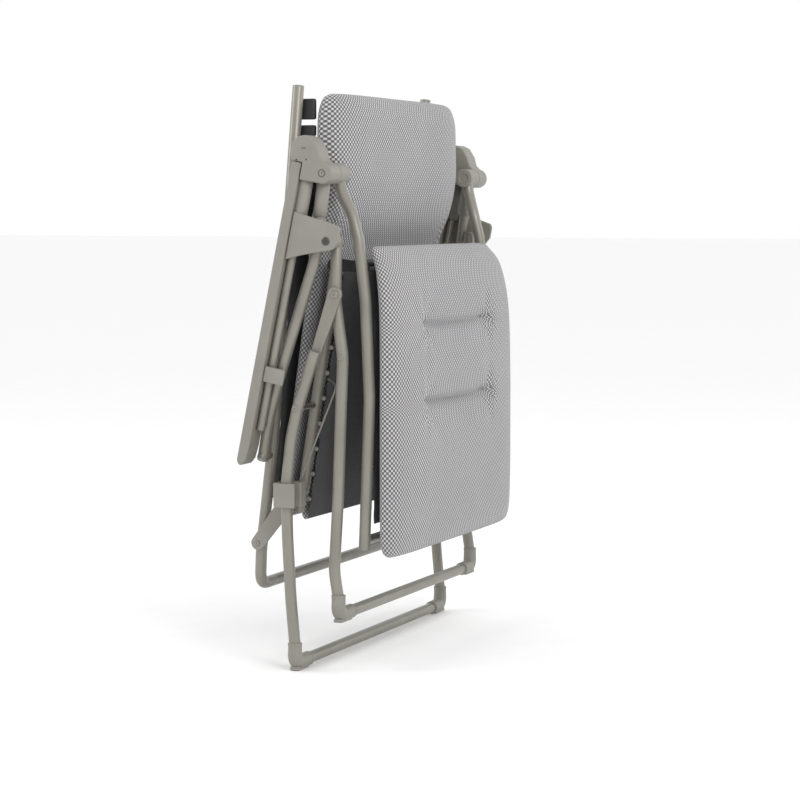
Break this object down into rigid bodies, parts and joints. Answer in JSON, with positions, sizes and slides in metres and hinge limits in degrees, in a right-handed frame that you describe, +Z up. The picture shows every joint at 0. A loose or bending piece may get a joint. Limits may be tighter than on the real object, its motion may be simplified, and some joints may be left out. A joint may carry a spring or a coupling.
{
  "type": "zero gravity recliner",
  "caption": "Folded reclining lounge chair of round tube with plastic armrests, a quilted mesh pad over a dark sling and crossing legs that unfold with the back and legrest.",
  "frame": {"origin": "under the middle of the folded chair, on the surface it stands on", "axes": "+X across the chair towards its right side as seen from the front, -Y towards the front of the folded chair, where the legrest pad is, +Z up"},
  "size_m": [0.706, 0.2646, 0.9568],
  "materials": {
    "frame_paint": "satin grey-beige powder coat",
    "grey_plastic": "fine matte grain",
    "armrest_plastic": "satin",
    "pad_mesh": "open two-tone spacer mesh over foam",
    "sling_cloth": "plain dark woven cloth",
    "black_plastic": "black, fine grain",
    "bare_steel": "plain"
  },
  "bodies": {
    "rear_leg": {"rear_leg_ear_L": "frame_paint", "rear_leg_ear_R": "frame_paint", "rear_leg_floor_bar": "frame_paint", "rear_leg_foot_L": "grey_plastic", "rear_leg_foot_R": "grey_plastic", "rear_leg_side_L": "frame_paint", "rear_leg_side_R": "frame_paint"},
    "front_leg": {"front_leg_floor_bar": "frame_paint", "front_leg_foot_L": "grey_plastic", "front_leg_foot_R": "grey_plastic", "front_leg_side_L": "frame_paint", "front_leg_side_R": "frame_paint"},
    "seat": {"hip_link_L": "grey_plastic", "hip_link_R": "grey_plastic", "leg_clip_L": "grey_plastic", "leg_clip_R": "grey_plastic", "seat_front_bar": "black_plastic", "seat_pad": "pad_mesh", "seat_side_L": "frame_paint", "seat_side_R": "frame_paint", "seat_sling": "sling_cloth", "stay_rod_L": "bare_steel", "stay_rod_R": "bare_steel"},
    "back": {"back_brace": "frame_paint", "back_cross_bar": "frame_paint", "back_pad": "pad_mesh", "back_side_L": "frame_paint", "back_side_R": "frame_paint", "back_sling": "sling_cloth"},
    "legrest": {"knee_plate_L": "black_plastic", "knee_plate_R": "black_plastic", "legrest_bar": "frame_paint", "legrest_pad": "pad_mesh", "legrest_side_L": "frame_paint", "legrest_side_R": "frame_paint", "legrest_sling": "sling_cloth"},
    "armrest_left": {"arm_rail_L": "frame_paint", "arm_strap_L": "grey_plastic", "arm_track_L": "frame_paint", "armrest_L": "armrest_plastic", "armrest_end_L": "armrest_plastic"},
    "armrest_right": {"arm_rail_R": "frame_paint", "arm_strap_R": "grey_plastic", "arm_track_R": "frame_paint", "armrest_R": "armrest_plastic", "armrest_end_R": "armrest_plastic"},
    "slider_left": {"lock_slider_L": "grey_plastic"},
    "slider_right": {"lock_slider_R": "grey_plastic"}
  },
  "joints": [
    {"name": "unfold", "type": "hinge", "parent": "rear_leg", "child": "front_leg", "pos_m": [0, -0.0325, 0.617], "axis": [1, 0, 0], "range_deg": [-62, 0]},
    {"name": "seat_swing", "type": "hinge", "parent": "rear_leg", "child": "seat", "pos_m": [0, 0.0315, 0.432], "axis": [1, 0, 0], "range_deg": [0, 20.5]},
    {"name": "back_swing", "type": "hinge", "parent": "seat", "child": "back", "pos_m": [0, 0.1205, 0.202], "axis": [1, 0, 0], "range_deg": [-84.5, 0]},
    {"name": "legrest_swing", "type": "hinge", "parent": "seat", "child": "legrest", "pos_m": [0, -0.0075, 0.664], "axis": [1, 0, 0], "range_deg": [-84.5, 0]},
    {"name": "armrest_left_swing", "type": "hinge", "parent": "back", "child": "armrest_left", "pos_m": [0, 0.1015, 0.349], "axis": [1, 0, 0], "range_deg": [0, 84.5]},
    {"name": "armrest_right_swing", "type": "hinge", "parent": "back", "child": "armrest_right", "pos_m": [0, 0.1015, 0.349], "axis": [1, 0, 0], "range_deg": [0, 84.5]},
    {"name": "slider_left_travel", "type": "slide", "parent": "armrest_left", "child": "slider_left", "axis": [0, -0.267, 0.9637], "range_m": [0, 0.0485]},
    {"name": "slider_right_travel", "type": "slide", "parent": "armrest_right", "child": "slider_right", "axis": [0, -0.267, 0.9637], "range_m": [0, 0.0485]}
  ],
  "couplings": [
    {"joint": "seat_swing", "follows": "unfold", "ratio": -0.32258},
    {"joint": "back_swing", "follows": "unfold", "ratio": 1.3548},
    {"joint": "legrest_swing", "follows": "unfold", "ratio": 1.3548},
    {"joint": "armrest_left_swing", "follows": "unfold", "ratio": -1.3548},
    {"joint": "armrest_right_swing", "follows": "unfold", "ratio": -1.3548},
    {"joint": "slider_left_travel", "follows": "unfold", "m_per_rad": -0.044358},
    {"joint": "slider_right_travel", "follows": "unfold", "m_per_rad": -0.044358}
  ]
}
